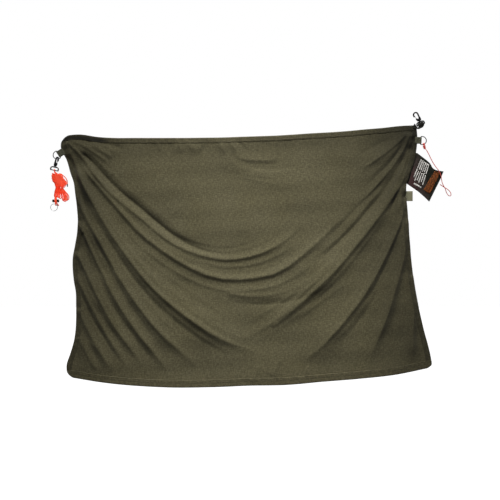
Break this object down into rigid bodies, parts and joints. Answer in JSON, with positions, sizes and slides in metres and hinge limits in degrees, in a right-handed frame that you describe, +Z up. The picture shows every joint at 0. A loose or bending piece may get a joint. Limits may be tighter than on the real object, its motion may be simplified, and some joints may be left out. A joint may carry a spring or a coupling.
{
  "type": "layout field blind",
  "caption": "Hemmed dark mesh sheet hanging in folds from its top corners, with webbing tabs, D-rings, swivel snap hooks, a hanked guy line, a tie cord and a side pouch.",
  "frame": {"origin": "middle of the upper edge of the top hem, where the line that carries the blind runs", "axes": "+X along the top hem towards the pouch, +Y away from the front through the cloth, +Z up"},
  "size_m": [1.6451, 0.0486, 1.1295],
  "materials": {
    "mesh": "matt knitted mesh",
    "hem": "matt folded mesh",
    "webbing": "woven webbing",
    "loop_webbing": "lighter woven webbing",
    "ring_steel": "dull grey wire",
    "hook_plastic": "black moulded, satin",
    "gate_plastic": "black moulded, satin",
    "pin_steel": "bright",
    "guy_line": "braided cord",
    "line_end": "dark taped cord end",
    "runner": "dark brown moulded",
    "peg_steel": "bright wire",
    "tie_cord": "braided cord",
    "pouch_cloth": "dark woven cloth",
    "pouch_hem": "dark folded hem",
    "label_print": "pale print, plain bars",
    "band_print": "plain mottled band"
  },
  "bodies": {
    "sheet": {"mesh_panel": "mesh", "top_hem": "hem", "bottom_hem": "hem", "left_hem": "hem", "right_hem": "hem", "left_ring_tab": "webbing", "right_ring_tab": "webbing", "hook_tab": "webbing", "side_loop": "loop_webbing", "pouch_seam": "pouch_cloth"},
    "left_ring": {"ring_left": "ring_steel"},
    "left_hook": {"hook_left": "hook_plastic", "gate_pin_left": "pin_steel"},
    "left_gate": {"gate_left": "gate_plastic"},
    "left_eye": {"swivel_left": "hook_plastic"},
    "guy_line": {"guy_hank": "guy_line", "guy_tail": "guy_line", "guy_end_upper": "line_end", "guy_end_lower": "line_end"},
    "runner": {"line_runner": "runner"},
    "peg_ring": {"peg_ring": "peg_steel"},
    "right_ring": {"ring_right": "ring_steel", "cord_knot": "tie_cord", "tie_cord": "tie_cord"},
    "right_eye": {"swivel_right": "hook_plastic"},
    "right_hook": {"hook_right": "hook_plastic", "gate_pin_right": "pin_steel"},
    "right_gate": {"gate_right": "gate_plastic"},
    "pouch": {"pouch_front": "pouch_cloth", "pouch_back": "pouch_cloth", "pouch_binding": "pouch_cloth", "pouch_mouth_hem": "pouch_hem", "pouch_label": "label_print", "pouch_band": "band_print"}
  },
  "joints": [
    {"name": "left_ring_turn", "type": "hinge", "parent": "sheet", "child": "left_ring", "pos_m": [-0.785, 0, -0.073], "axis": [0.5299, 0, -0.848], "range_deg": [-80, 80]},
    {"name": "left_hook_swing", "type": "hinge", "parent": "left_ring", "child": "left_hook", "pos_m": [-0.79051, 0, -0.09294], "axis": [1, 0, 0], "range_deg": [-20, 20]},
    {"name": "left_gate_open", "type": "hinge", "parent": "left_hook", "child": "left_gate", "pos_m": [-0.79174, -0.00275, -0.11063], "axis": [-0.7269, -0.6691, 0.1545], "range_deg": [0, 35], "stiffness_Nm_per_rad": 0.01, "springref_deg": -11.46},
    {"name": "left_swivel_spin", "type": "hinge", "parent": "left_hook", "child": "left_eye", "pos_m": [-0.80002, 0.00334, -0.12318], "axis": [0.2079, 0, 0.9781], "continuous": true},
    {"name": "guy_line_swing", "type": "hinge", "parent": "left_eye", "child": "guy_line", "pos_m": [-0.80326, 0.00334, -0.13844], "axis": [0.9781, 0, -0.2079], "range_deg": [-25, 25]},
    {"name": "runner_slide", "type": "slide", "parent": "guy_line", "child": "runner", "axis": [0, 0, 1], "range_m": [-0.003, 0.003]},
    {"name": "peg_ring_swing", "type": "hinge", "parent": "guy_line", "child": "peg_ring", "pos_m": [-0.797, 0.00334, -0.2784], "axis": [0.866, 0, -0.5], "range_deg": [-40, 40]},
    {"name": "right_ring_turn", "type": "hinge", "parent": "sheet", "child": "right_ring", "pos_m": [0.7, 0, -0.0165], "axis": [0.0523, 0, 0.9986], "range_deg": [-80, 0]},
    {"name": "right_eye_fold", "type": "hinge", "parent": "sheet", "child": "right_eye", "pos_m": [0.70159, 0, 0.04794], "axis": [0.9205, 0, 0.3907], "range_deg": [-50, 50]},
    {"name": "right_swivel_spin", "type": "hinge", "parent": "right_eye", "child": "right_hook", "pos_m": [0.6955, 0, 0.0623], "axis": [-0.3907, 0, 0.9205], "continuous": true},
    {"name": "right_gate_open", "type": "hinge", "parent": "right_hook", "child": "right_gate", "pos_m": [0.68248, 0, 0.07198], "axis": [0, 1, 0], "range_deg": [0, 35], "stiffness_Nm_per_rad": 0.01, "springref_deg": -11.46},
    {"name": "pouch_fold", "type": "hinge", "parent": "sheet", "child": "pouch", "pos_m": [0.687, 0.0031, -0.068], "axis": [0.3094, 0, 0.9509], "range_deg": [0, 80]}
  ]
}
